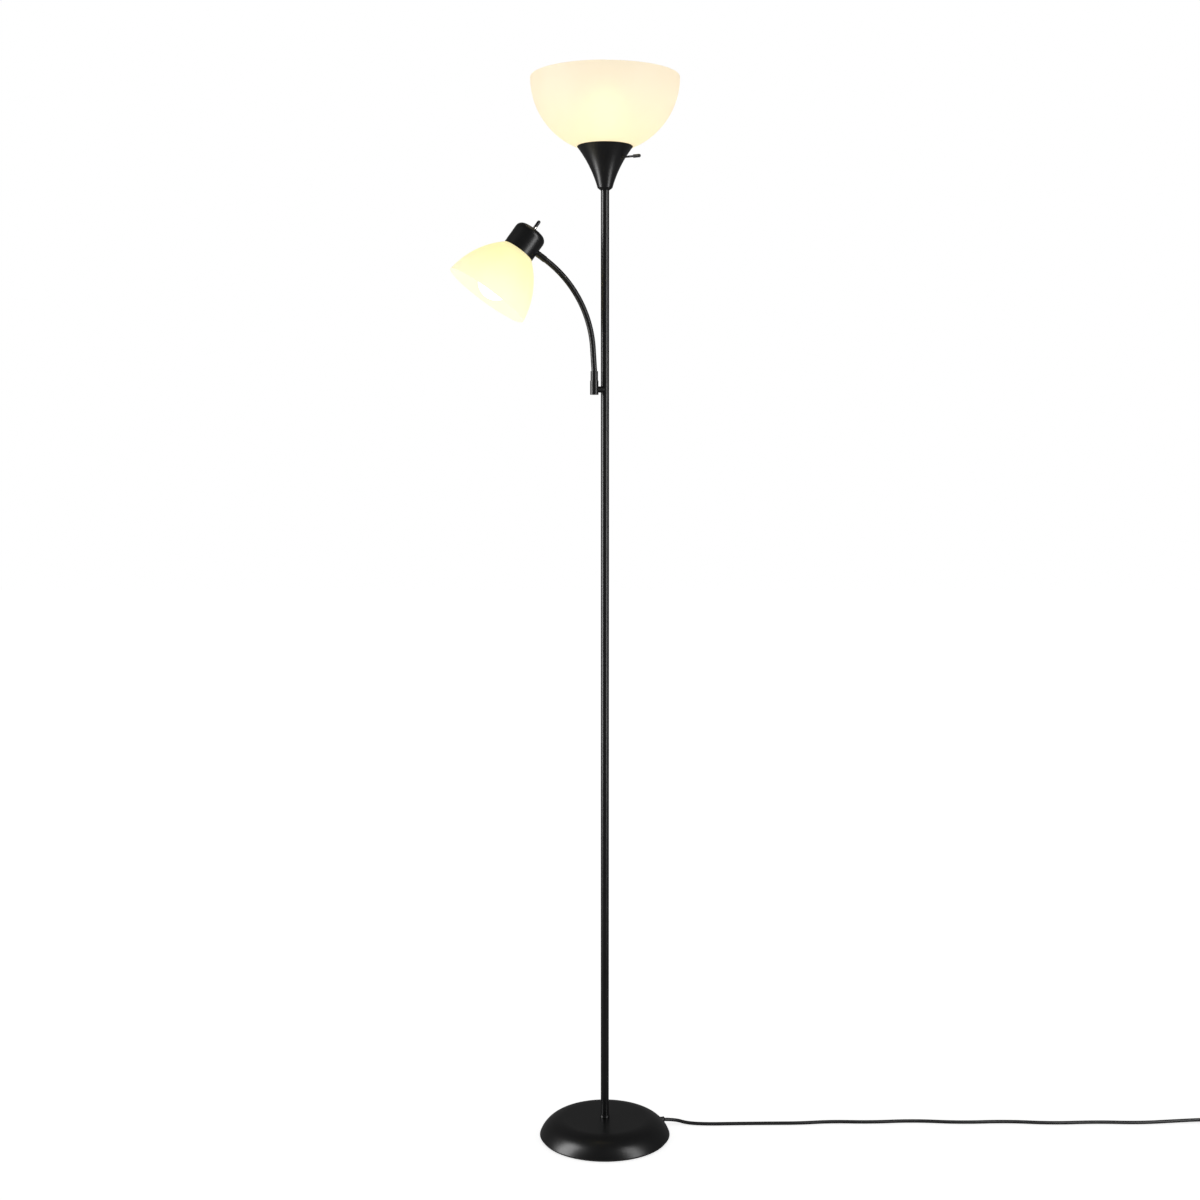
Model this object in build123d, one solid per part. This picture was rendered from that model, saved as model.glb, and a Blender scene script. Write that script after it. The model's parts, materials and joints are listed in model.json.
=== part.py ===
from build123d import *
import math
import os

# Torchiere floor lamp with a side reading lamp on a gooseneck. Millimetres, +Z up.
# The origin is on the floor, on the pole's axis. The front faces -Y.

# ---- driving dimensions -------------------------------------------------------------------------
HEIGHT = 1800.0

# base
PAD_T, PAD_R = 4.0, 109.5
PLATE_T, PLATE_R = 1.2, 110.6
BASE_TOP = 33.0
COVER_WALL = 1.2
DOME_R = 43.4
DOME_X, DOME_Z = 71.8, BASE_TOP - DOME_R
WEIGHT_R, WEIGHT_Z0, WEIGHT_Z1 = 88.0, 5.4, 19.0
BOSS_R = 22.0
NUT_RECESS_R, NUT_RECESS_Z = 13.5, 22.2
GROOVE_W, GROOVE_Z = 8.0, 17.6

# threaded tube used through the lamp, and its nut
NIPPLE_R, NIPPLE_BORE = 5.0, 3.5
NUT_FLATS, NUT_T = 16.0, 4.0

# pole
POLE_R, POLE_WALL = 7.0, 0.8
POLE_TOP = 1616.5
SECTIONS = 4
COUPLER_HALF = 18.0
EDGE = 0.25
INSERT_LEN = 24.0

# trumpet cup and bowl shade
BOWL_RX, BOWL_RZ = 123.6, 120.2
BOWL_WALL = 2.5
CUP_TOP = 1688.3
CUP_WALL, CUP_FLOOR = 1.2, 4.5
WASHER_T = 1.2
CUP_RIM_R, CUP_FOOT_R = 46.2, 12.4
CUP_FOOT_Z = 1620.5

# lamp holder, measured from its own rear face towards the bulb
HOLDER_R, HOLDER_REAR_R, HOLDER_CONE = 16.5, 10.0, 12.0
HOLDER_BORE = 14.4
SHELL_R, SHELL_WALL = 14.2, 0.4
HOLDER_DEPTH = 31.0
SHADE_HOLE = 17.0
RING_R, RING_T = 24.0, 4.0
BULB_R, BULB_LEN, BULB_NECK_R = 30.0, 110.0, 13.3
GLASS_WALL = 1.0
TOP_HOLDER_Z, TOP_SEAT = 1640.0, 31.0
READ_SEAT = 22.0

# rotary switch of the top lamp
KNOB_Z = 1668.0
KNOB_AZIMUTH = -28.0
STEM_R, STEM_BORE, STEM_IN, STEM_OUT = 1.7, 1.75, 8.3, 54.0
KNOB_R, KNOB_END = 2.85, 66.0

# side bracket and swivel
FERRULE = Vector(-17.8, -15.0, 0)
BRACKET_Z = 1288.5
BRACKET_Z0, BRACKET_Z1, BRACKET_R = 1279.5, 1302.7, 7.0
STUB_R = 5.2
SPIGOT_R, SPIGOT_BORE = 4.9, 4.96
SWIVEL_R = 6.2
NECK_Z = 1318.4
GAP = 0.3
CLIP_R, CLIP_T = 5.8, 1.8
WIRE_R = 2.5

# gooseneck: straight, one arc, straight into the cap; headings are from vertical, outwards
PSI = math.radians(11.0)
OUT = Vector(-math.cos(PSI), -math.sin(PSI), 0)
SIDE = Vector(math.sin(PSI), -math.cos(PSI), 0)
NECK_R = 4.75
HEAD0, HEAD1 = math.radians(3.5), math.radians(54.3)
NECK_LOW, NECK_ARC_R, SLEEVE_LEN = 37.2, 191.6, 17.0
ARC_LEN = NECK_ARC_R * (HEAD1 - HEAD0)
NECK_LEN = NECK_LOW + ARC_LEN + SLEEVE_LEN
PIVOT_FIRST, PIVOT_STEP, PIVOTS = 4.0, 50.0, 5
BALL_R, SOCKET_R, BALL_NECK_R = 3.0, 3.05, 2.0
CUP_LIP, SHOULDER = 1.0, 2.2
NECK_BORE = 1.2
SLEEVE_R = 5.4

# reading head: its frame has its origin at the cap's rim centre and +Z towards the shade's opening
CAP_R, CAP_LEN, CAP_CORNER, CAP_WALL = 27.3, 43.0, 11.0, 1.2
SLEEVE_DEPTH = 16.2
READ_SHADE_LEN, READ_SHADE_R0, READ_SHADE_R1, READ_WALL = 90.0, 26.6, 72.8, 2.2
SWITCH_TUBE_R, SWITCH_BORE, SWITCH_STEM_R = 3.0, 1.35, 1.3
SWITCH_TUBE_END, SWITCH_KNOB_END, SWITCH_KNOB_R = 49.5, 62.0, 2.9

# mains cord, its strain relief, its coil and its plug
CORD_D = 6.0
CORD_Z = CORD_D / 2 + 0.1
RELIEF_LEN = 24.5
CABLE_R = 2.3
CORD_ROUTE = [
    (105.5, 47.0, 9.6), (125.0, 54.6, 6.4), (146.0, 46.8, CORD_Z), (180.0, 42.4, CORD_Z),
    (232.0, 44.4, CORD_Z), (292.0, 45.8, CORD_Z), (345.0, 46.4, CORD_Z), (402.0, 54.0, CORD_Z),
    (470.0, 50.5, CORD_Z), (548.0, 58.0, CORD_Z), (630.0, 49.0, CORD_Z), (712.0, 55.0, CORD_Z),
    (790.0, 46.0, CORD_Z), (872.0, 52.0, CORD_Z), (945.0, 47.5, CORD_Z), (1012.0, 55.0, 3.6),
    (1060.0, 58.4, 4.6), (1102.0, 58.0, 4.6),
]
COIL_X, COIL_Y = 1102.0, 20.0
COIL_IN, COIL_OUT, COIL_Z0, COIL_Z1 = 28.6, 41.4, 1.5, 13.7
TIE_W, TIE_T = 9.0, 0.8
TAIL_ROUTE = [(1140.0, 20.0, 10.1), (1140.3, 4.0, 9.9), (1141.5, -12.0, 8.2), (1141.0, -27.0, 7.5)]
PLUG_LEN, PLUG_W, PLUG_T, PLUG_NOSE = 30.0, 24.0, 15.0, 10.0
BLADE_L, BLADE_W, BLADE_T, BLADE_GAP = 17.0, 6.3, 1.5, 12.7

os.makedirs("parts", exist_ok=True)


# ---- small helpers ------------------------------------------------------------------------------
def keep(name, solid):
    export_step(solid, "parts/" + name + ".step")


def turned(*edges):
    """Solid of revolution about Z from edges drawn as (radius, height)."""
    return revolve(Plane.XZ * make_face(Curve() + list(edges)), Axis.Z)


def outline(*points):
    """Solid of revolution about Z from a closed polygon of (radius, height)."""
    return revolve(Plane.XZ * make_face(Polyline(*points, close=True)), Axis.Z)


def tube(r_out, r_in, z0, z1):
    ring = Cylinder(r_out, z1 - z0) - Cylinder(r_in, z1 - z0)
    return Pos(0, 0, (z0 + z1) / 2) * ring


def rod(radius, z0, z1):
    return Pos(0, 0, (z0 + z1) / 2) * Cylinder(radius, z1 - z0)


def hex_nut(flats, bore, z0, z1):
    blank = extrude(RegularPolygon(flats / 2, 6, major_radius=False), z1 - z0)
    return Pos(0, 0, z0) * (blank - rod(bore, 0, z1 - z0))


def along(origin, direction):
    """Location whose +Z runs along a direction."""
    return Plane(origin=origin, z_dir=direction).location


def polar(radius, degrees, z):
    return Vector(radius * math.cos(math.radians(degrees)), radius * math.sin(math.radians(degrees)), z)


# ---- base ---------------------------------------------------------------------------------------
RELIEF_END = Vector(*CORD_ROUTE[0])
RELIEF_DIR = (Vector(*CORD_ROUTE[1]) - RELIEF_END).normalized()
RELIEF_START = RELIEF_END - RELIEF_DIR * RELIEF_LEN
CORD_AZIMUTH = math.degrees(math.atan2(RELIEF_END.Y, RELIEF_END.X))


def dome_radius(z, radius):
    return DOME_X + math.sqrt(radius**2 - (z - DOME_Z) ** 2)


def base_cover():
    inner = DOME_R - COVER_WALL
    mid = math.radians(50)
    shell = turned(
        Polyline((DOME_X, BASE_TOP - COVER_WALL), (NIPPLE_R + 0.1, BASE_TOP - COVER_WALL),
                 (NIPPLE_R + 0.1, BASE_TOP), (DOME_X, BASE_TOP)),
        ThreePointArc((DOME_X, BASE_TOP),
                      (DOME_X + DOME_R * math.cos(mid), DOME_Z + DOME_R * math.sin(mid)),
                      (dome_radius(PAD_T, DOME_R), PAD_T)),
        Line((dome_radius(PAD_T, DOME_R), PAD_T), (dome_radius(PAD_T, inner), PAD_T)),
        ThreePointArc((dome_radius(PAD_T, inner), PAD_T),
                      (DOME_X + inner * math.cos(mid), DOME_Z + inner * math.sin(mid)),
                      (DOME_X, BASE_TOP - COVER_WALL)),
    )
    return shell - along(RELIEF_START, RELIEF_DIR) * rod(4.7, 4, RELIEF_LEN + 8)


def base_weight():
    body = rod(WEIGHT_R, WEIGHT_Z0, WEIGHT_Z1) + rod(BOSS_R, WEIGHT_Z1, BASE_TOP - COVER_WALL)
    body -= rod(NUT_RECESS_R, WEIGHT_Z0, NUT_RECESS_Z)
    body -= rod(NIPPLE_R + 0.15, WEIGHT_Z0, BASE_TOP)
    groove = Pos(WEIGHT_R / 2, 0, (WEIGHT_Z0 + GROOVE_Z) / 2) * Box(WEIGHT_R, GROOVE_W, GROOVE_Z - WEIGHT_Z0)
    return body - Rot(0, 0, CORD_AZIMUTH) * groove


def strain_relief():
    profile = outline((0, 0), (5.6, 0), (5.6, 2.5), (4.6, 3.5), (4.6, 21.6), (5.4, 22.2), (3.5, RELIEF_LEN),
                      (0, RELIEF_LEN))
    return along(RELIEF_START, RELIEF_DIR) * profile


def inner_cable():
    inward = Vector(-math.cos(math.radians(CORD_AZIMUTH)), -math.sin(math.radians(CORD_AZIMUTH)), 0)
    first = RELIEF_START - RELIEF_DIR * 9
    second = Vector(first.X, first.Y, 0) + inward * 24 + Vector(0, 0, 8.5)
    corner = Vector(0, 0, 8.0)
    path = FilletPolyline(RELIEF_START, first, second, corner, Vector(0, 0, TOP_HOLDER_Z - 2),
                          radius=[20, 20, 9.5])
    return sweep(Plane(origin=RELIEF_START, z_dir=RELIEF_DIR * -1) * Circle(CABLE_R), path=path)


keep("foot_pad", rod(PAD_R, 0, PAD_T))
keep("base_plate", tube(PLATE_R, 16, PAD_T, PAD_T + PLATE_T))
keep("base_weight", base_weight())
keep("base_cover", base_cover())
keep("base_washer", tube(11, NIPPLE_R + 0.2, NUT_RECESS_Z - 1.2, NUT_RECESS_Z))
keep("base_nut", hex_nut(NUT_FLATS, NIPPLE_R, NUT_RECESS_Z - 1.2 - NUT_T, NUT_RECESS_Z - 1.2))
keep("base_nipple", tube(NIPPLE_R, NIPPLE_BORE, 16.5, BASE_TOP + INSERT_LEN - 4))
keep("foot_collar", outline((POLE_R, BASE_TOP), (8.3, BASE_TOP), (8.3, 35.2), (7.9, 36.4), (7.7, 38.4),
                            (POLE_R, 38.8)))
keep("strain_relief", strain_relief())
keep("inner_cable", inner_cable())


# ---- pole ---------------------------------------------------------------------------------------
POLE_BORE = POLE_R - POLE_WALL
SECTION_LEN = (POLE_TOP - BASE_TOP) / SECTIONS
STUB_DIR = FERRULE.normalized()


def pole_section(index):
    z0 = BASE_TOP + SECTION_LEN * index
    z1 = z0 + SECTION_LEN
    section = outline((POLE_BORE, z0), (POLE_R - EDGE, z0), (POLE_R, z0 + EDGE), (POLE_R, z1 - EDGE),
                      (POLE_R - EDGE, z1), (POLE_BORE, z1))
    if z0 < BRACKET_Z < z1:
        section -= along(Vector(0, 0, BRACKET_Z), STUB_DIR) * rod(3.2, 2, 12)
    return section


for number in range(SECTIONS):
    keep("pole_section_%d" % (number + 1), pole_section(number))
for number in range(1, SECTIONS):
    seam = BASE_TOP + SECTION_LEN * number
    keep("pole_coupler_%d" % number, tube(POLE_BORE - 0.05, 4.6, seam - COUPLER_HALF, seam + COUPLER_HALF))
keep("pole_foot_insert", tube(POLE_BORE - 0.05, NIPPLE_R, BASE_TOP, BASE_TOP + INSERT_LEN))
keep("pole_top_insert", tube(POLE_BORE - 0.05, NIPPLE_R, POLE_TOP - INSERT_LEN, POLE_TOP))


# ---- trumpet cup, lamp holders, shades and bulbs ------------------------------------------------
def trumpet_cup():
    foot_in, floor_z = CUP_FOOT_R - CUP_WALL, POLE_TOP + CUP_FLOOR
    cup = turned(
        Polyline((NIPPLE_R + 0.1, POLE_TOP), (POLE_R + 0.3, POLE_TOP), (CUP_FOOT_R, CUP_FOOT_Z)),
        ThreePointArc((CUP_FOOT_R, CUP_FOOT_Z), (26.5, 1656.5), (CUP_RIM_R, CUP_TOP - 0.6)),
        Polyline((CUP_RIM_R, CUP_TOP - 0.6), (CUP_RIM_R - 0.4, CUP_TOP), (CUP_RIM_R - 1.4, CUP_TOP)),
        ThreePointArc((CUP_RIM_R - 1.4, CUP_TOP), (25.2, 1657.4), (foot_in, floor_z)),
        Polyline((foot_in, floor_z), (NIPPLE_R + 0.1, floor_z), (NIPPLE_R + 0.1, POLE_TOP)),
    )
    return cup - along(Vector(0, 0, KNOB_Z), polar(1, KNOB_AZIMUTH, 0)) * rod(3.0, 20, 60)


def bowl_shade():
    floor_z = CUP_TOP + BOWL_WALL
    lip_z = HEIGHT - 1.0
    inner_x, inner_z = BOWL_RX - BOWL_WALL, BOWL_RZ - BOWL_WALL

    def edge_angle(rz, z):
        return math.degrees(math.asin((lip_z - z) / rz))

    outer_a, inner_a = edge_angle(BOWL_RZ, CUP_TOP), edge_angle(inner_z, floor_z)
    centre = Pos(0, lip_z)
    outer = centre * EllipticalCenterArc((0, 0), BOWL_RX, BOWL_RZ, start_angle=-outer_a, arc_size=outer_a)
    inner = centre * EllipticalCenterArc((0, 0), inner_x, inner_z, start_angle=-inner_a, arc_size=inner_a)
    lip = ThreePointArc((BOWL_RX, lip_z), (BOWL_RX - BOWL_WALL / 2, HEIGHT), (inner_x, lip_z))
    low, high = outer @ 0, inner @ 0
    floor = Polyline((low.X, low.Y), (SHADE_HOLE, CUP_TOP), (SHADE_HOLE, floor_z), (high.X, high.Y))
    return turned(outer, lip, inner, floor)


def holder_body(seat):
    end = seat + HOLDER_DEPTH
    return outline((0, 0), (HOLDER_REAR_R, 0), (HOLDER_R, HOLDER_CONE), (HOLDER_R, end), (HOLDER_BORE, end),
                   (HOLDER_BORE, seat), (0, seat))


def holder_shell(seat):
    end = seat + HOLDER_DEPTH - 2
    inner = SHELL_R - SHELL_WALL
    return outline((6, seat), (SHELL_R, seat), (SHELL_R, end), (inner, end), (inner, seat + SHELL_WALL),
                   (6, seat + SHELL_WALL))


def holder_contact(seat):
    return rod(3.0, seat, seat + 1.6)


def shade_ring(z0):
    return outline((HOLDER_R, z0), (RING_R, z0), (RING_R, z0 + 1.4), (HOLDER_R + 2, z0 + RING_T),
                   (HOLDER_R, z0 + RING_T))


def bulb_base(seat):
    tip = seat + 1.6
    return outline((0, tip), (4.5, tip), (5.5, tip + 1.5), (BULB_NECK_R - 0.3, tip + 4),
                   (BULB_NECK_R - 0.3, tip + 26), (0, tip + 26))


def bulb_glass(seat):
    foot = seat + 1.6 + 26
    centre = seat + 1.6 + BULB_LEN - BULB_R
    wide = math.radians(-17.5)

    def wall(inset, z0):
        radius = BULB_R - inset
        meet = (radius * math.cos(wide), centre + radius * math.sin(wide))
        neck = Spline((BULB_NECK_R - inset, z0), meet, tangents=((0.0, 1.0), (0.3, 0.954)))
        top = ThreePointArc(meet, (radius * math.cos(0.7), centre + radius * math.sin(0.7)), (0, centre + radius))
        return neck, top

    outer, crown = wall(0, foot)
    inner, inner_crown = wall(GLASS_WALL, foot + GLASS_WALL)
    base = Polyline((BULB_NECK_R, foot), (0, foot), (0, foot + GLASS_WALL), (BULB_NECK_R - GLASS_WALL, foot + GLASS_WALL))
    tip = Line((0, centre + BULB_R), (0, centre + BULB_R - GLASS_WALL))
    return turned(outer, crown, tip, inner_crown, inner, base)


TOP = Pos(0, 0, TOP_HOLDER_Z)
KNOB_DIR = polar(1, KNOB_AZIMUTH, 0)
top_body = TOP * holder_body(TOP_SEAT) - rod(NIPPLE_R, TOP_HOLDER_Z, TOP_HOLDER_Z + 6)
top_body -= along(Vector(0, 0, KNOB_Z), KNOB_DIR) * rod(STEM_BORE, 8, 20)
keep("trumpet_cup", trumpet_cup())
keep("top_nipple", tube(NIPPLE_R, NIPPLE_BORE, POLE_TOP - INSERT_LEN + 4, TOP_HOLDER_Z + 6))
washer_z = POLE_TOP + CUP_FLOOR
keep("top_washer", tube(9.8, NIPPLE_R + 0.1, washer_z, washer_z + WASHER_T))
keep("top_nut", hex_nut(NUT_FLATS, NIPPLE_R, washer_z + WASHER_T, washer_z + WASHER_T + NUT_T))
keep("top_lamp_holder", top_body)
keep("top_screw_shell", TOP * holder_shell(TOP_SEAT))
keep("top_contact", TOP * holder_contact(TOP_SEAT))
keep("top_shade_ring", shade_ring(CUP_TOP + BOWL_WALL))
keep("bowl_shade", bowl_shade())
keep("top_bulb_glass", TOP * bulb_glass(TOP_SEAT))
keep("top_bulb_base", TOP * bulb_base(TOP_SEAT))

knob = rod(STEM_R, STEM_IN, STEM_OUT) + rod(KNOB_R, STEM_OUT - 1, KNOB_END - KNOB_R)
knob += Pos(0, 0, KNOB_END - KNOB_R) * Sphere(KNOB_R)
keep("top_switch_knob", along(Vector(0, 0, KNOB_Z), KNOB_DIR) * knob)


# ---- side bracket and swivel --------------------------------------------------------------------
AT_FERRULE = Pos(FERRULE.X, FERRULE.Y, 0)


def arm_bracket():
    stub = along(Vector(0, 0, BRACKET_Z), STUB_DIR) * rod(STUB_R, 2, FERRULE.length)
    body = AT_FERRULE * rod(BRACKET_R, BRACKET_Z0, BRACKET_Z1) + stub
    body -= AT_FERRULE * rod(SPIGOT_BORE, BRACKET_Z0 - 1, BRACKET_Z1 + 1)
    body -= AT_FERRULE * rod(CLIP_R + GAP, BRACKET_Z0 - 1, BRACKET_Z0 + 3)
    body -= along(Vector(0, 0, BRACKET_Z), STUB_DIR) * rod(3.2, 2, FERRULE.length - 7)
    body -= along(Vector(0, 0, BRACKET_Z), STUB_DIR) * rod(2.2, 2, FERRULE.length)
    return body - rod(POLE_R, BRACKET_Z0 - 10, BRACKET_Z1 + 10)


def neck_at(s):
    """Point and unit heading of the gooseneck's centre line, s millimetres from the swivel's top."""
    if s <= NECK_LOW:
        heading = HEAD0
        rho, rise = s * math.sin(HEAD0), s * math.cos(HEAD0)
    else:
        heading = min(HEAD0 + (s - NECK_LOW) / NECK_ARC_R, HEAD1)
        last = max(s - NECK_LOW - ARC_LEN, 0)
        rho = NECK_LOW * math.sin(HEAD0) + NECK_ARC_R * (math.cos(HEAD0) - math.cos(heading))
        rise = NECK_LOW * math.cos(HEAD0) + NECK_ARC_R * (math.sin(heading) - math.sin(HEAD0))
        rho += last * math.sin(HEAD1)
        rise += last * math.cos(HEAD1)
    point = FERRULE + OUT * rho + Vector(0, 0, NECK_Z + rise)
    return point, OUT * math.sin(heading) + Vector(0, 0, math.cos(heading))


def neck_tube(s0, s1, radius):
    start, heading = neck_at(s0)
    end = neck_at(s1)[0]
    straight = s1 <= NECK_LOW or s0 >= NECK_LOW + ARC_LEN
    path = Line(start, end) if straight else ThreePointArc(start, neck_at((s0 + s1) / 2)[0], end)
    return sweep(Plane(origin=start, z_dir=heading) * Circle(radius), path=path)


def ball_end(pivot):
    """Ball on a short neck, which sits in the cup of the piece below."""
    point, heading = neck_at(pivot)
    return along(point, heading) * (Sphere(BALL_R) + rod(BALL_NECK_R, 0, SHOULDER + 1))


def ball_cup(pivot):
    return Pos(*neck_at(pivot)[0]) * Sphere(SOCKET_R)


PIVOT_S = [PIVOT_FIRST + PIVOT_STEP * k for k in range(PIVOTS)]

swivel = AT_FERRULE * (rod(SPIGOT_R, BRACKET_Z0 + 0.5, BRACKET_Z1 + 1) + rod(SWIVEL_R, BRACKET_Z1 + GAP, NECK_Z))
swivel += neck_tube(-3, PIVOT_S[0] + CUP_LIP, NECK_R)
swivel -= AT_FERRULE * rod(WIRE_R, BRACKET_Z0, NECK_Z - 3)
swivel -= ball_cup(PIVOT_S[0])
swivel -= along(*neck_at(-4)) * rod(NECK_BORE, 0, 8)
clip_z = BRACKET_Z0 + 3 - GAP
keep("arm_bracket", arm_bracket())
keep("arm_nipple", along(Vector(0, 0, BRACKET_Z), STUB_DIR) * tube(3.2, 2.2, 5, FERRULE.length - 7))
keep("swivel_sleeve", swivel)
keep("swivel_clip", AT_FERRULE * tube(CLIP_R, SPIGOT_R, clip_z - CLIP_T, clip_z))


def neck_link(index):
    low, high = PIVOT_S[index], PIVOT_S[index + 1]
    link = neck_tube(low + SHOULDER, high + CUP_LIP, NECK_R) + ball_end(low)
    link -= ball_cup(high)
    return link - neck_tube(low - BALL_R - 0.5, high, NECK_BORE)


for number in range(PIVOTS - 1):
    keep("neck_link_%d" % (number + 1), neck_link(number))


# ---- reading head -------------------------------------------------------------------------------
SLEEVE_END, NECK_DIR = neck_at(NECK_LEN)
HEAD_AXIS = OUT * math.cos(HEAD1) - Vector(0, 0, math.sin(HEAD1))
RIM = SLEEVE_END + NECK_DIR * CAP_R + HEAD_AXIS * SLEEVE_DEPTH
HEAD = Plane(origin=RIM, x_dir=SIDE, z_dir=HEAD_AXIS).location


def reading_cap():
    corner, top, inner = CAP_CORNER, -CAP_LEN, CAP_R - CAP_WALL
    c45 = math.cos(math.pi / 4)
    flat = CAP_R - corner
    inner_corner = corner - CAP_WALL
    shell = turned(
        Line((CAP_R, 0), (CAP_R, top + corner)),
        ThreePointArc((CAP_R, top + corner), (flat + corner * c45, top + corner - corner * c45), (flat, top)),
        Polyline((flat, top), (SWITCH_TUBE_R + 0.1, top), (SWITCH_TUBE_R + 0.1, top + CAP_WALL),
                 (flat, top + CAP_WALL)),
        ThreePointArc((flat, top + CAP_WALL),
                      (flat + inner_corner * c45, top + corner - inner_corner * c45),
                      (inner, top + corner)),
        Polyline((inner, top + corner), (inner, 0), (CAP_R, 0)),
    )
    return HEAD * shell - along(SLEEVE_END, NECK_DIR) * rod(3.0, -2, 4)


def reading_shade():
    length, wall = READ_SHADE_LEN, READ_WALL
    return HEAD * turned(
        ThreePointArc((READ_SHADE_R0, 0), (57.3, 39.0), (READ_SHADE_R1, length - 1)),
        ThreePointArc((READ_SHADE_R1, length - 1), (READ_SHADE_R1 - wall / 2, length), (READ_SHADE_R1 - wall, length - 1)),
        ThreePointArc((READ_SHADE_R1 - wall, length - 1), (55.3, 40.0), (READ_SHADE_R0 - 1.4, wall)),
        Polyline((READ_SHADE_R0 - 1.4, wall), (SHADE_HOLE, wall), (SHADE_HOLE, 0), (READ_SHADE_R0, 0)),
    )


REAR = HEAD * Pos(0, 0, CAP_WALL - CAP_LEN)
read_body = holder_body(READ_SEAT) - rod(SWITCH_TUBE_R, 0, 6)
sleeve = neck_tube(PIVOT_S[-1] + SHOULDER, NECK_LEN - 14, NECK_R) + ball_end(PIVOT_S[-1])
sleeve += along(*neck_at(NECK_LEN)) * rod(SLEEVE_R, 0.5 - SLEEVE_LEN, 4)
sleeve -= HEAD * rod(CAP_R, -CAP_LEN, 0)
sleeve -= along(*neck_at(NECK_LEN)) * rod(3.0, -8, 4)
sleeve -= neck_tube(PIVOT_S[-1] - BALL_R - 0.5, NECK_LEN - 6, NECK_BORE)
keep("head_sleeve", sleeve)
keep("head_nipple", along(*neck_at(NECK_LEN)) * tube(3.0, 1.8, -8, 5.2))
keep("head_nut", along(*neck_at(NECK_LEN)) * hex_nut(10, 3.0, 1.95, 4.6))
keep("reading_cap", reading_cap())
keep("reading_lamp_holder", REAR * read_body)
keep("reading_screw_shell", REAR * holder_shell(READ_SEAT))
keep("reading_contact", REAR * holder_contact(READ_SEAT))
keep("reading_shade_ring", HEAD * shade_ring(READ_WALL))
keep("reading_shade", reading_shade())
keep("reading_bulb_glass", REAR * bulb_glass(READ_SEAT))
keep("reading_bulb_base", REAR * bulb_base(READ_SEAT))

tube_in = -CAP_LEN + CAP_WALL + 6
keep("reading_switch_tube", HEAD * tube(SWITCH_TUBE_R, SWITCH_BORE, -SWITCH_TUBE_END, tube_in))
keep("reading_switch_nut", HEAD * hex_nut(10.5, SWITCH_TUBE_R, -CAP_LEN - 2.4, -CAP_LEN))
lever = rod(SWITCH_STEM_R, -SWITCH_TUBE_END - 2, tube_in - GAP)
lever += rod(SWITCH_KNOB_R, SWITCH_KNOB_R - SWITCH_KNOB_END, -SWITCH_TUBE_END - GAP)
lever += Pos(0, 0, SWITCH_KNOB_R - SWITCH_KNOB_END) * Sphere(SWITCH_KNOB_R)
keep("reading_switch_knob", HEAD * lever)


# ---- mains cord ---------------------------------------------------------------------------------
def cord_tube(name, points):
    """Round cord along straight runs joined by arcs as large as the runs allow."""
    route = [Vector(*point) for point in points]
    radii = []
    for before, at, after in zip(route, route[1:], route[2:]):
        turn = math.radians((at - before).get_angle(after - at))
        shorter = min((at - before).length, (after - at).length)
        radii.append(0.45 * shorter / math.tan(turn / 2))
    path = FilletPolyline(*route, radius=radii)
    cord = sweep(Plane(origin=route[0], z_dir=route[1] - route[0]) * Circle(CORD_D / 2), path=path)
    area = math.pi * CORD_D**2 / 4
    print(name, "length", round(path.length, 1), "volume ratio", round(cord.volume / area / path.length, 4))
    print(name, "radii", [round(radius) for radius in radii])
    return cord


def cord_coil():
    section = outline((COIL_IN + 2, COIL_Z0), (COIL_OUT - 2, COIL_Z0), (COIL_OUT, COIL_Z0 + 2),
                      (COIL_OUT, COIL_Z1 - 2), (COIL_OUT - 2, COIL_Z1), (COIL_IN + 2, COIL_Z1),
                      (COIL_IN, COIL_Z1 - 2), (COIL_IN, COIL_Z0 + 2))
    return Pos(COIL_X, COIL_Y, 0) * section


def cord_tie():
    gap = 0.5
    middle, high = (COIL_IN + COIL_OUT) / 2, (COIL_Z0 + COIL_Z1) / 2
    wide, tall = COIL_OUT - COIL_IN + 2 * gap, COIL_Z1 - COIL_Z0 + 2 * gap
    band = Box(wide + 2 * TIE_T, TIE_W, tall + 2 * TIE_T) - Box(wide, TIE_W, tall)
    return Pos(COIL_X, COIL_Y, 0) * Rot(0, 0, 215) * Pos(middle, 0, high) * band


def plug_body():
    """Moulded plug with a tapered nose for the cord; it lies on the floor, blades to -Y."""
    body = fillet(Box(PLUG_W, PLUG_LEN, PLUG_T).edges(), 3)
    nose = Pos(0, PLUG_LEN / 2 - 1, 0) * Rot(-90, 0, 0) * Cone(5.6, CORD_D / 2 + 0.7, PLUG_NOSE,
                                                               align=(Align.CENTER, Align.CENTER, Align.MIN))
    return PLUG_AT * (body + nose)


TAIL_END = Vector(*TAIL_ROUTE[-1])
PLUG_AT = Pos(TAIL_END.X, TAIL_END.Y - PLUG_LEN / 2 - PLUG_NOSE + 0.9, PLUG_T / 2)
blade = Box(BLADE_T, BLADE_L, BLADE_W)
pair = Pos(-BLADE_GAP / 2, 0, 0) * blade + Pos(BLADE_GAP / 2, 0, 0) * blade
keep("cord_run", cord_tube("cord_run", CORD_ROUTE))
keep("cord_coil", cord_coil())
keep("cord_tie", cord_tie())
keep("cord_tail", cord_tube("cord_tail", TAIL_ROUTE))
keep("plug_body", plug_body())
keep("plug_blades", PLUG_AT * Pos(0, -(PLUG_LEN + BLADE_L) / 2, 0) * pair)

for k, s in enumerate(PIVOT_S):
    print("pivot", k, [round(v, 3) for v in neck_at(s)[0]])
print("rim", [round(v, 3) for v in RIM], "head axis", [round(v, 5) for v in HEAD_AXIS])
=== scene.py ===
import json
import math

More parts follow.
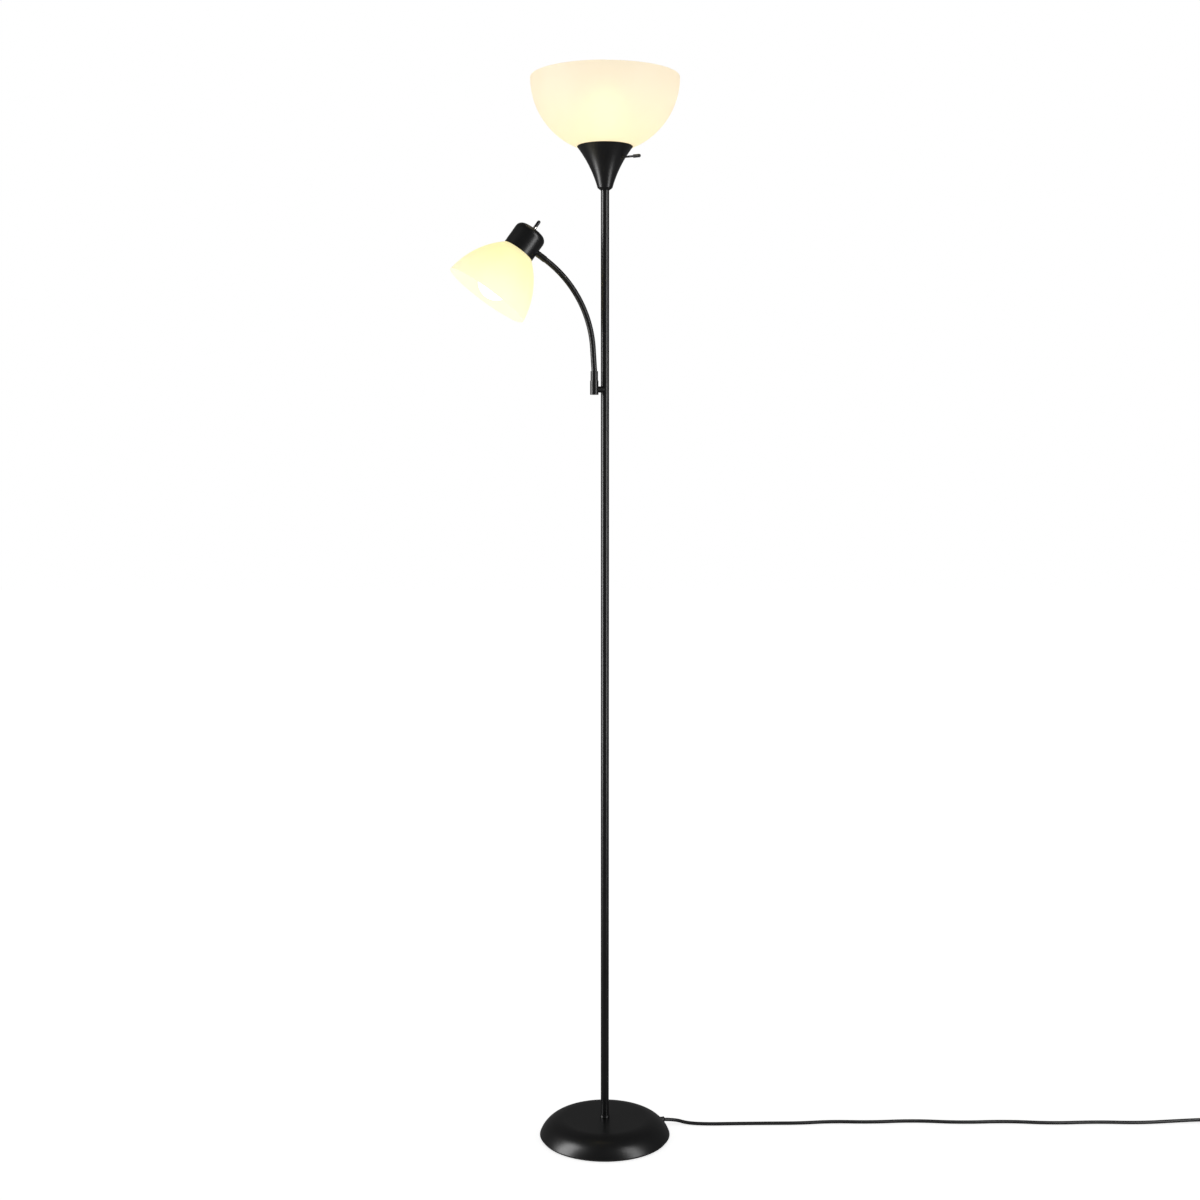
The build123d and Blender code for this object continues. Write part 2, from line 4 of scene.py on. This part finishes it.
import bmesh
import bpy
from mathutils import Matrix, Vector


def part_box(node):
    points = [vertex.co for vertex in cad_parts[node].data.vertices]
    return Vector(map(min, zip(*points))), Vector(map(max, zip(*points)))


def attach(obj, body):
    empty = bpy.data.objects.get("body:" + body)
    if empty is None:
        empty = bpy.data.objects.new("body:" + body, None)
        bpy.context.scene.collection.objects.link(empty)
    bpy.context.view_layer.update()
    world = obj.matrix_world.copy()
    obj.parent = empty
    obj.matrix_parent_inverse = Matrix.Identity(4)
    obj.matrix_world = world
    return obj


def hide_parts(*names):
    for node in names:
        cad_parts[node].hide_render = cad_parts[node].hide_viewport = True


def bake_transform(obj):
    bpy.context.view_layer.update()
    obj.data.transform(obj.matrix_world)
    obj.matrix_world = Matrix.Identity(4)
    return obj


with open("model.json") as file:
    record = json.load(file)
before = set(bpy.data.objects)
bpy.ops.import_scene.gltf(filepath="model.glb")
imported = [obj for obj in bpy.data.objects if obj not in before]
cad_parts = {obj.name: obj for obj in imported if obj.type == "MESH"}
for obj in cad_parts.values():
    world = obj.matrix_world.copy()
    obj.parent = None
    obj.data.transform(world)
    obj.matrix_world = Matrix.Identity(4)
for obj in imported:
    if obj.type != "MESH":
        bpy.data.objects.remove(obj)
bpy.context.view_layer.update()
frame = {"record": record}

UP = Vector((0, 0, 1))


# ---- camera -------------------------------------------------------------------------------------
CAMERA_AT = (-0.0083, -2.811, 1.1735)
CAMERA_TILT = 4.85
lens = bpy.data.cameras.new("camera")
lens.lens, lens.sensor_width = 50.0, 36.0
camera = bpy.data.objects.new("camera", lens)
camera.location = CAMERA_AT
camera.rotation_euler = (math.radians(90 - CAMERA_TILT), 0, 0)
bpy.context.collection.objects.link(camera)
bpy.context.scene.camera = camera


# ---- helpers ------------------------------------------------------------------------------------
def add(name, data):
    piece = bpy.data.objects.new(name, data)
    bpy.context.collection.objects.link(piece)
    return piece


def cad(name):
    return bpy.data.objects[name]


def mesh_piece(name, build):
    """New object from a function that fills a bmesh."""
    bm = bmesh.new()
    build(bm)
    bmesh.ops.recalc_face_normals(bm, faces=bm.faces)
    mesh = bpy.data.meshes.new(name)
    bm.to_mesh(mesh)
    bm.free()
    for face in mesh.polygons:
        face.use_smooth = True
    return add(name, mesh)


def smoothstep(low, high, value):
    t = min(max((value - low) / (high - low), 0.0), 1.0)
    return t * t * (3 - 2 * t)


# ---- mains cord ---------------------------------------------------------------------------------
CORD_D = 0.006
CORD_Z = CORD_D / 2 + 0.0001
CORD_ROUTE = [
    (0.1055, 0.0470, 0.0096), (0.1250, 0.0546, 0.0064), (0.1460, 0.0468, CORD_Z), (0.1800, 0.0424, CORD_Z),
    (0.2320, 0.0444, CORD_Z), (0.2920, 0.0458, CORD_Z), (0.3450, 0.0464, CORD_Z), (0.4020, 0.0540, CORD_Z),
    (0.4700, 0.0505, CORD_Z), (0.5480, 0.0580, CORD_Z), (0.6300, 0.0490, CORD_Z), (0.7120, 0.0550, CORD_Z),
    (0.7900, 0.0460, CORD_Z), (0.8720, 0.0520, CORD_Z), (0.9450, 0.0475, CORD_Z), (1.0120, 0.0550, 0.0036),
    (1.0600, 0.0584, 0.0046),
]
COIL_AT = (1.102, 0.020)
COIL_OUTER, COIL_INNER, COIL_LOW, COIL_HIGH = 0.038, 0.032, 0.0046, 0.0106
COIL_TURNS, POINTS_PER_TURN = 3.25, 16
# Turns over which the coil moves inward, climbs to the upper layer and moves outward again.
INWARD, UPWARD, OUTWARD = (0.85, 1.15), (1.7, 2.0), (2.55, 2.85)
TAIL_ROUTE = [(1.1403, 0.0040, 0.0099), (1.1415, -0.0120, 0.0082), (1.1410, -0.0270, 0.0075)]


def coil_points():
    """A lower layer, outer turn then inner, and back out again in a layer on top of it."""
    stretch = 1 / math.cos(math.pi / POINTS_PER_TURN)
    points = []
    for step in range(int(COIL_TURNS * POINTS_PER_TURN) + 1):
        turn = step / POINTS_PER_TURN
        inward = smoothstep(*INWARD, turn) - smoothstep(*OUTWARD, turn)
        radius = (COIL_OUTER + (COIL_INNER - COIL_OUTER) * inward) * stretch
        height = COIL_LOW + (COIL_HIGH - COIL_LOW) * smoothstep(*UPWARD, turn)
        angle = math.pi / 2 - 2 * math.pi * turn
        points.append((COIL_AT[0] + radius * math.cos(angle), COIL_AT[1] + radius * math.sin(angle), height))
    return points


def cord_curve(name, points, diameter):
    curve = bpy.data.curves.new(name, "CURVE")
    curve.dimensions = "3D"
    curve.bevel_depth = diameter / 2
    curve.bevel_resolution = 5
    curve.resolution_u = 10
    curve.use_fill_caps = True
    spline = curve.splines.new("NURBS")
    spline.points.add(len(points) - 1)
    for target, place in zip(spline.points, points):
        target.co = (*place, 1)
    spline.order_u = 3
    spline.use_endpoint_u = True
    return add(name, curve)


cord = cord_curve("mains_cord", CORD_ROUTE + coil_points() + TAIL_ROUTE, CORD_D)
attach(cord, "stand")
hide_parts("cord_run", "cord_coil", "cord_tail")


# ---- materials ----------------------------------------------------------------------------------
class Nodes:
    """A material's node tree with short calls for the nodes used here."""

    def __init__(self, name):
        self.material = bpy.data.materials.new(name)
        self.material.use_nodes = True
        self.tree = self.material.node_tree
        self.shader = self.tree.nodes["Principled BSDF"]
        self.place = self.node("ShaderNodeTexCoord").outputs["Object"]

    def node(self, kind, **values):
        made = self.tree.nodes.new(kind)
        for key, value in values.items():
            if hasattr(made, key):
                setattr(made, key, value)
            else:
                made.inputs[key.replace("_", " ")].default_value = value
        return made

    def link(self, source, target):
        self.tree.links.new(source, target)

    def set(self, **values):
        for key, value in values.items():
            self.shader.inputs[key.replace("_", " ")].default_value = value

    def noise(self, scale, detail=4.0, roughness=0.6, stretch=None):
        noise = self.node("ShaderNodeTexNoise", Scale=scale, Detail=detail, Roughness=roughness)
        source = self.place
        if stretch:
            mapping = self.node("ShaderNodeMapping", Scale=stretch)
            self.link(source, mapping.inputs["Vector"])
            source = mapping.outputs["Vector"]
        self.link(source, noise.inputs["Vector"])
        return noise.outputs["Fac"]

    def ramp(self, source, low, high, start=0.3, end=0.7):
        ramp = self.node("ShaderNodeValToRGB")
        ramp.color_ramp.elements[0].position = start
        ramp.color_ramp.elements[1].position = end
        ramp.color_ramp.elements[0].color = (*low, 1)
        ramp.color_ramp.elements[1].color = (*high, 1)
        self.link(source, ramp.inputs["Fac"])
        return ramp.outputs["Color"]

    def spread(self, source, low, high):
        spread = self.node("ShaderNodeMapRange")
        spread.inputs["To Min"].default_value = low
        spread.inputs["To Max"].default_value = high
        self.link(source, spread.inputs["Value"])
        return spread.outputs["Result"]

    def bump(self, source, strength, distance):
        bump = self.node("ShaderNodeBump", Strength=strength, Distance=distance)
        self.link(source, bump.inputs["Height"])
        self.link(bump.outputs["Normal"], self.shader.inputs["Normal"])


ROUGH_VARY = 0.06


def shade(colour, factor):
    return tuple(min(c * factor, 1.0) for c in colour)


def surface(name, colour, rough, metallic=0.0, grain=900.0, depth=0.00002, vary=0.25,
            stretch=None, **sockets):
    """A slow cloud varies the colour, and a fine grain the roughness and the relief."""
    made = Nodes(name)
    made.set(Metallic=metallic, **sockets)
    fine = made.noise(grain, stretch=stretch)
    cloud = made.noise(22.0, detail=3.0)
    tint = made.ramp(cloud, shade(colour, 1 - vary), shade(colour, 1 + vary))
    made.link(tint, made.shader.inputs["Base Color"])
    made.link(made.spread(fine, rough - ROUGH_VARY, rough + ROUGH_VARY), made.shader.inputs["Roughness"])
    made.bump(fine, 0.6, depth)
    return made.material


def glowing_shade(name, colour, glow, strength, bulb, reach):
    """Frosted plastic lit from inside by painted emission, with the lit bulb faint through it, and the
    painted glow palest far from the bulb and yellowest near it.
    """
    made = Nodes(name)
    # Painted glow: a fixed emission strength stands in for the bulb's light shining through the shade.
    made.set(Specular_IOR_Level=0.25, Transmission_Weight=0.35, IOR=1.35, Emission_Strength=strength)
    cloud = made.noise(45.0, detail=3.0)
    made.link(made.ramp(cloud, shade(colour, 0.96), colour), made.shader.inputs["Base Color"])
    made.link(made.spread(made.noise(500.0), 0.54, 0.60), made.shader.inputs["Roughness"])
    # Painted hot spot: the emission colour runs from yellow near the bulb to pale far from it, a painted pool
    # of the bulb's light.
    offset = made.node("ShaderNodeVectorMath", operation="DISTANCE")
    made.link(made.place, offset.inputs[0])
    offset.inputs[1].default_value = bulb
    near = made.node("ShaderNodeMapRange", interpolation_type="SMOOTHSTEP")
    near.inputs["From Min"].default_value = reach[0]
    near.inputs["From Max"].default_value = reach[1]
    made.link(offset.outputs["Value"], near.inputs["Value"])
    painted_glow_colour = made.ramp(near.outputs["Result"], glow[0], glow[1], 0.0, 1.0)
    made.link(painted_glow_colour, made.shader.inputs["Emission Color"])
    made.bump(made.noise(700.0), 0.3, 0.00002)
    return made.material


materials = {
    "black_metal": surface("black_metal", (0.006, 0.006, 0.0065), 0.3, grain=1500, Specular_IOR_Level=0.42),
    "plated_steel": surface("plated_steel", (0.6, 0.6, 0.57), 0.32, 1.0, 700),
    "cast_weight": surface("cast_weight", (0.14, 0.14, 0.14), 0.7, 0.6, 260, 0.0003),
    "nickel": surface("nickel", (0.74, 0.71, 0.66), 0.18, 1.0, 1200, 0.00001, 0.1),
    "brass": surface("brass", (0.78, 0.56, 0.24), 0.28, 1.0, 900),
    "holder_plastic": surface("holder_plastic", (0.02, 0.02, 0.021), 0.42, grain=800),
    "knob_plastic": surface("knob_plastic", (0.012, 0.012, 0.013), 0.3, grain=900),
    "bulb_base": surface("bulb_base", (0.75, 0.75, 0.74), 0.25, 1.0, 900),
    "pad_rubber": surface("pad_rubber", (0.02, 0.02, 0.02), 0.85, grain=1400, depth=0.0002),
    "cord_rubber": surface("cord_rubber", (0.010, 0.010, 0.011), 0.45, grain=1100, depth=0.00004),
    "tie_strap": surface("tie_strap", (0.02, 0.02, 0.02), 0.9, grain=2500, depth=0.0003, stretch=(1, 1, 0.2)),
}
TOP_BULB = (0.0, 0.0, 1.753)
low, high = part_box("reading_bulb_glass")
READ_BULB = tuple((Vector(low) + Vector(high)) / 2)
BULB_GLOW = 3.2

materials["bowl_white"] = glowing_shade(
    "bowl_white", colour=(0.62, 0.55, 0.45), glow=((1.0, 0.89, 0.50), (1.0, 0.91, 0.70)),
    strength=0.45, bulb=TOP_BULB, reach=(0.06, 0.13))
materials["reading_white"] = glowing_shade(
    "reading_white", colour=(0.64, 0.58, 0.45), glow=((1.0, 0.95, 0.42), (1.0, 0.93, 0.68)),
    strength=0.52, bulb=READ_BULB, reach=(0.03, 0.09))


def bulb_material():
    made = Nodes("bulb_glass")
    made.set(Base_Color=(1.0, 0.95, 0.85, 1), Emission_Strength=BULB_GLOW)
    cloud = made.noise(40.0)
    made.link(made.ramp(cloud, (1.0, 0.88, 0.36), (1.0, 0.92, 0.42)), made.shader.inputs["Emission Color"])
    made.link(made.spread(cloud, 0.3, 0.4), made.shader.inputs["Roughness"])
    return made.material


materials["bulb_glass"] = bulb_material()


def paint(piece, slot):
    piece.data.materials.clear()
    piece.data.materials.append(materials[slot])


for row in frame["record"]["subparts"]:
    paint(cad(row["node"]), row["material_slot"])
paint(cord, "cord_rubber")


# ---- gooseneck ----------------------------------------------------------------------------------
joints = {joint["name"]: joint for joint in frame["record"]["behaviour"]["joints"]}
FIRST_PIVOT = Vector(joints["gooseneck_bend"]["pos_m"])
SIDE = Vector(joints["gooseneck_bend"]["axis"])
OUT = SIDE.cross(UP)
TILT_LOW, TILT_HIGH = math.radians(3.5), math.radians(54.3)
NECK_STRAIGHT, NECK_ARC_R = 0.0372, 0.1916
ARC_LEN = NECK_ARC_R * (TILT_HIGH - TILT_LOW)
PIVOT_FIRST, PIVOT_STEP = 0.004, 0.050
NECK_R, RIB_PITCH, RIB_DEPTH, RIB_PROUD, RIB_SHARPNESS = 0.00475, 0.0022, 0.00028, 0.0001, 1.5
NECK_START, NECK_END = 0.0002, 0.2085


def neck_at(s):
    """How far out and up the centre line is, s from the swivel's top, and its tilt off the vertical."""
    tilt = min(max(TILT_LOW + (s - NECK_STRAIGHT) / NECK_ARC_R, TILT_LOW), TILT_HIGH)
    low_part = min(s, NECK_STRAIGHT)
    last = max(s - NECK_STRAIGHT - ARC_LEN, 0)
    arc_out = NECK_ARC_R * (math.cos(TILT_LOW) - math.cos(tilt))
    arc_rise = NECK_ARC_R * (math.sin(tilt) - math.sin(TILT_LOW))
    out = low_part * math.sin(TILT_LOW) + arc_out + last * math.sin(TILT_HIGH)
    rise = low_part * math.cos(TILT_LOW) + arc_rise + last * math.cos(TILT_HIGH)
    return out, rise, tilt


first_out, first_rise, _ = neck_at(PIVOT_FIRST)
NECK_ORIGIN = FIRST_PIVOT - OUT * first_out - UP * first_rise


def neck_frame(s):
    """Point on the centre line, s from the swivel's top, and the direction across it in the bend's plane."""
    out, rise, tilt = neck_at(s)
    point = NECK_ORIGIN + OUT * out + UP * rise
    across = OUT * math.cos(tilt) - UP * math.sin(tilt)
    return point, across


def ribbed_tube(s0, s1, around=40, per_rib=8):
    """Tube with fine rounded ribs along the neck from s0 to s1, open at both ends."""
    def build(bm):
        rings = []
        count = int(round((s1 - s0) / RIB_PITCH * per_rib))
        for step in range(count + 1):
            s = s0 + (s1 - s0) * step / count
            point, across = neck_frame(s)
            wave = abs(math.sin(math.pi * s / RIB_PITCH))
            radius = NECK_R - RIB_DEPTH * (1 - wave) ** RIB_SHARPNESS + RIB_PROUD
            rings.append([bm.verts.new(point + (across * math.cos(a) + SIDE * math.sin(a)) * radius)
                          for a in (2 * math.pi * k / around for k in range(around))])
        for ring, after in zip(rings, rings[1:]):
            for k in range(around):
                bm.faces.new((ring[k], ring[k - 1], after[k - 1], after[k]))
    return build


chain = ["arm", "neck_1", "neck_2", "neck_3", "neck_4", "head"]
LAST = len(chain) - 2
for index in range(LAST + 1):
    pivot_s = PIVOT_FIRST + PIVOT_STEP * index
    start = NECK_START if index == 0 else pivot_s - PIVOT_STEP / 2
    end = NECK_END if index == LAST else pivot_s + PIVOT_STEP / 2
    piece = mesh_piece("gooseneck_%d" % (index + 1), ribbed_tube(start, end))
    paint(piece, "black_metal")
    if index < LAST:
        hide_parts("neck_link_%d" % (index + 1))
    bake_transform(piece)


# ---- studio -------------------------------------------------------------------------------------
bpy.context.scene.view_settings.view_transform = "Standard"
FLOOR_SIZE = 12.0
PALE = (1.0, 1.0, 1.0)
AMBIENT = 0.35
REFLECTED = 0.16
FLOOR_GLOW = 0.75


def floor_grid(bm):
    bmesh.ops.create_grid(bm, x_segments=2, y_segments=2, size=FLOOR_SIZE)


floor = mesh_piece("studio_floor", floor_grid)
floor_look = Nodes("studio_floor")
floor_look.set(Roughness=0.9, Specular_IOR_Level=0.0,
               Emission_Color=(*PALE, 1), Emission_Strength=FLOOR_GLOW)
floor_look.link(floor_look.ramp(floor_look.noise(3.0), (0.8, 0.8, 0.8), (0.82, 0.82, 0.82)),
                floor_look.shader.inputs["Base Color"])
floor.data.materials.append(floor_look.material)
floor.visible_glossy = False


def studio_world():
    """Even pale room: bright behind the lamp, softer as a light on it and dim in reflections."""
    world = bpy.data.worlds.new("studio")
    world.use_nodes = True
    tree = world.node_tree
    ambient = tree.nodes["Background"]
    ambient.inputs["Color"].default_value = (*PALE, 1)
    ambient.inputs["Strength"].default_value = AMBIENT
    backdrop = tree.nodes.new("ShaderNodeBackground")
    backdrop.inputs["Color"].default_value = (*PALE, 1)
    dim = tree.nodes.new("ShaderNodeBackground")
    dim.inputs["Strength"].default_value = REFLECTED
    path = tree.nodes.new("ShaderNodeLightPath")
    shiny, mix = tree.nodes.new("ShaderNodeMixShader"), tree.nodes.new("ShaderNodeMixShader")
    tree.links.new(path.outputs["Is Glossy Ray"], shiny.inputs[0])
    tree.links.new(ambient.outputs[0], shiny.inputs[1])
    tree.links.new(dim.outputs[0], shiny.inputs[2])
    tree.links.new(path.outputs["Is Camera Ray"], mix.inputs[0])
    tree.links.new(shiny.outputs[0], mix.inputs[1])
    tree.links.new(backdrop.outputs[0], mix.inputs[2])
    tree.links.new(mix.outputs[0], tree.nodes["World Output"].inputs["Surface"])
    bpy.context.scene.world = world


def softbox(name, place, aim, size, power):
    """Rectangular light that makes highlights only, and adds no diffuse light."""
    data = bpy.data.lights.new(name, "AREA")
    data.shape, data.size, data.size_y = "RECTANGLE", size[0], size[1]
    data.energy = power
    lamp = add(name, data)
    lamp.location = place
    lamp.visible_diffuse = False
    lamp.rotation_euler = (Vector(aim) - Vector(place)).to_track_quat("-Z", "Y").to_euler()


studio_world()
POLE_MIDDLE = (0, 0, 0.9)
softbox("left_softbox", (-2.05, -0.55, 1.3), POLE_MIDDLE, size=(1.1, 2.4), power=75)
softbox("right_softbox", (1.7, -1.2, 1.3), POLE_MIDDLE, size=(0.8, 2.4), power=36)
